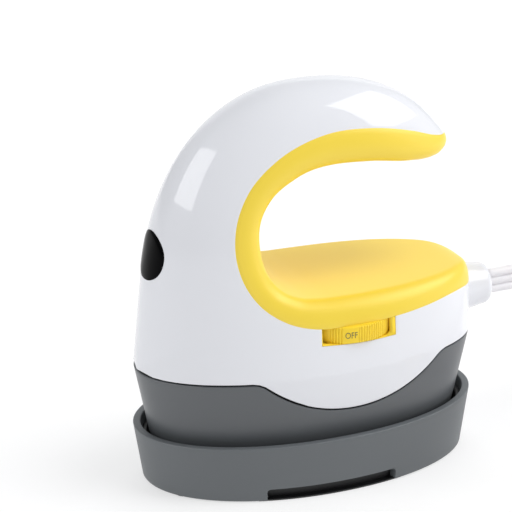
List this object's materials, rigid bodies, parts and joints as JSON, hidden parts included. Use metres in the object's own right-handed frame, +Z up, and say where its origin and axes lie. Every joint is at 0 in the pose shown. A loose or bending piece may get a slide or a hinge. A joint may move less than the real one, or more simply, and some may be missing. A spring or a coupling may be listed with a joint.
{
  "type": "mini handheld heat press",
  "caption": "Small handheld heat press with an open curved grip, side thumbwheel, oval heat plate, mains cord and plug, standing in an oval rest.",
  "frame": {"origin": "on the table under the middle of the rest", "axes": "+Z up, +X towards the cord outlet at the rear, -Y the side with the thumbwheel"},
  "size_m": [0.2628, 0.1334, 0.145],
  "materials": {
    "white_shell": "gloss",
    "yellow_trim": "satin",
    "grey_base": "matte",
    "dark_liner": "matte",
    "dark_lens": "gloss",
    "clear_guide": "satin",
    "led_epoxy": "gloss",
    "board": "satin",
    "black_parts": "satin",
    "terminal_green": "satin",
    "coated_plate": "satin",
    "mica": "satin",
    "plate_steel": "brushed",
    "felt": "matte",
    "shield": "bright",
    "glass_bead": "gloss",
    "fuse_body": "satin",
    "screw_steel": "bright",
    "wire_red": "satin",
    "cord_white": "satin",
    "foot_rubber": "matte",
    "brass_pin": "bright"
  },
  "bodies": {
    "rest": {"rest_shell": "grey_base", "rest_tray": "dark_liner", "rest_feet": "foot_rubber", "cord_coil": "cord_white", "cord_end": "cord_white", "plug": "cord_white", "plug_pins": "brass_pin"},
    "press": {"housing": "white_shell", "skirt": "grey_base", "grip_liner": "yellow_trim", "wheel_bezel": "yellow_trim", "level_switch": "black_parts", "indicator_lens": "dark_lens", "light_guide": "clear_guide", "status_led": "led_epoxy", "led_board": "board", "led_screws": "screw_steel", "led_wires": "wire_red", "heat_plate": "coated_plate", "mica_heater": "mica", "heater_clamp": "plate_steel", "felt_pad": "felt", "heat_shield": "shield", "thermal_fuse": "fuse_body", "temperature_sensor": "glass_bead", "case_screws": "screw_steel", "plate_screws": "screw_steel", "heater_screws": "screw_steel", "control_board": "board", "heater_leads": "wire_red", "power_relay": "black_parts", "filter_capacitor": "fuse_body", "terminal_block": "terminal_green", "cord_bush": "white_shell", "cord_clamp": "black_parts", "clamp_screws": "screw_steel", "cord_tail": "cord_white", "mains_leads": "wire_red", "cord_run": "cord_white"},
    "wheel": {"thumbwheel": "yellow_trim", "wheel_spindle": "black_parts"}
  },
  "joints": [
    {"name": "lift_off", "type": "slide", "parent": "rest", "child": "press", "axis": [0, 0, 1], "range_m": [0, 0.06]},
    {"name": "level_turn", "type": "hinge", "parent": "press", "child": "wheel", "pos_m": [0.0077, -0.014, 0.0588], "axis": [0, 0, 1], "range_deg": [0, 90]}
  ]
}
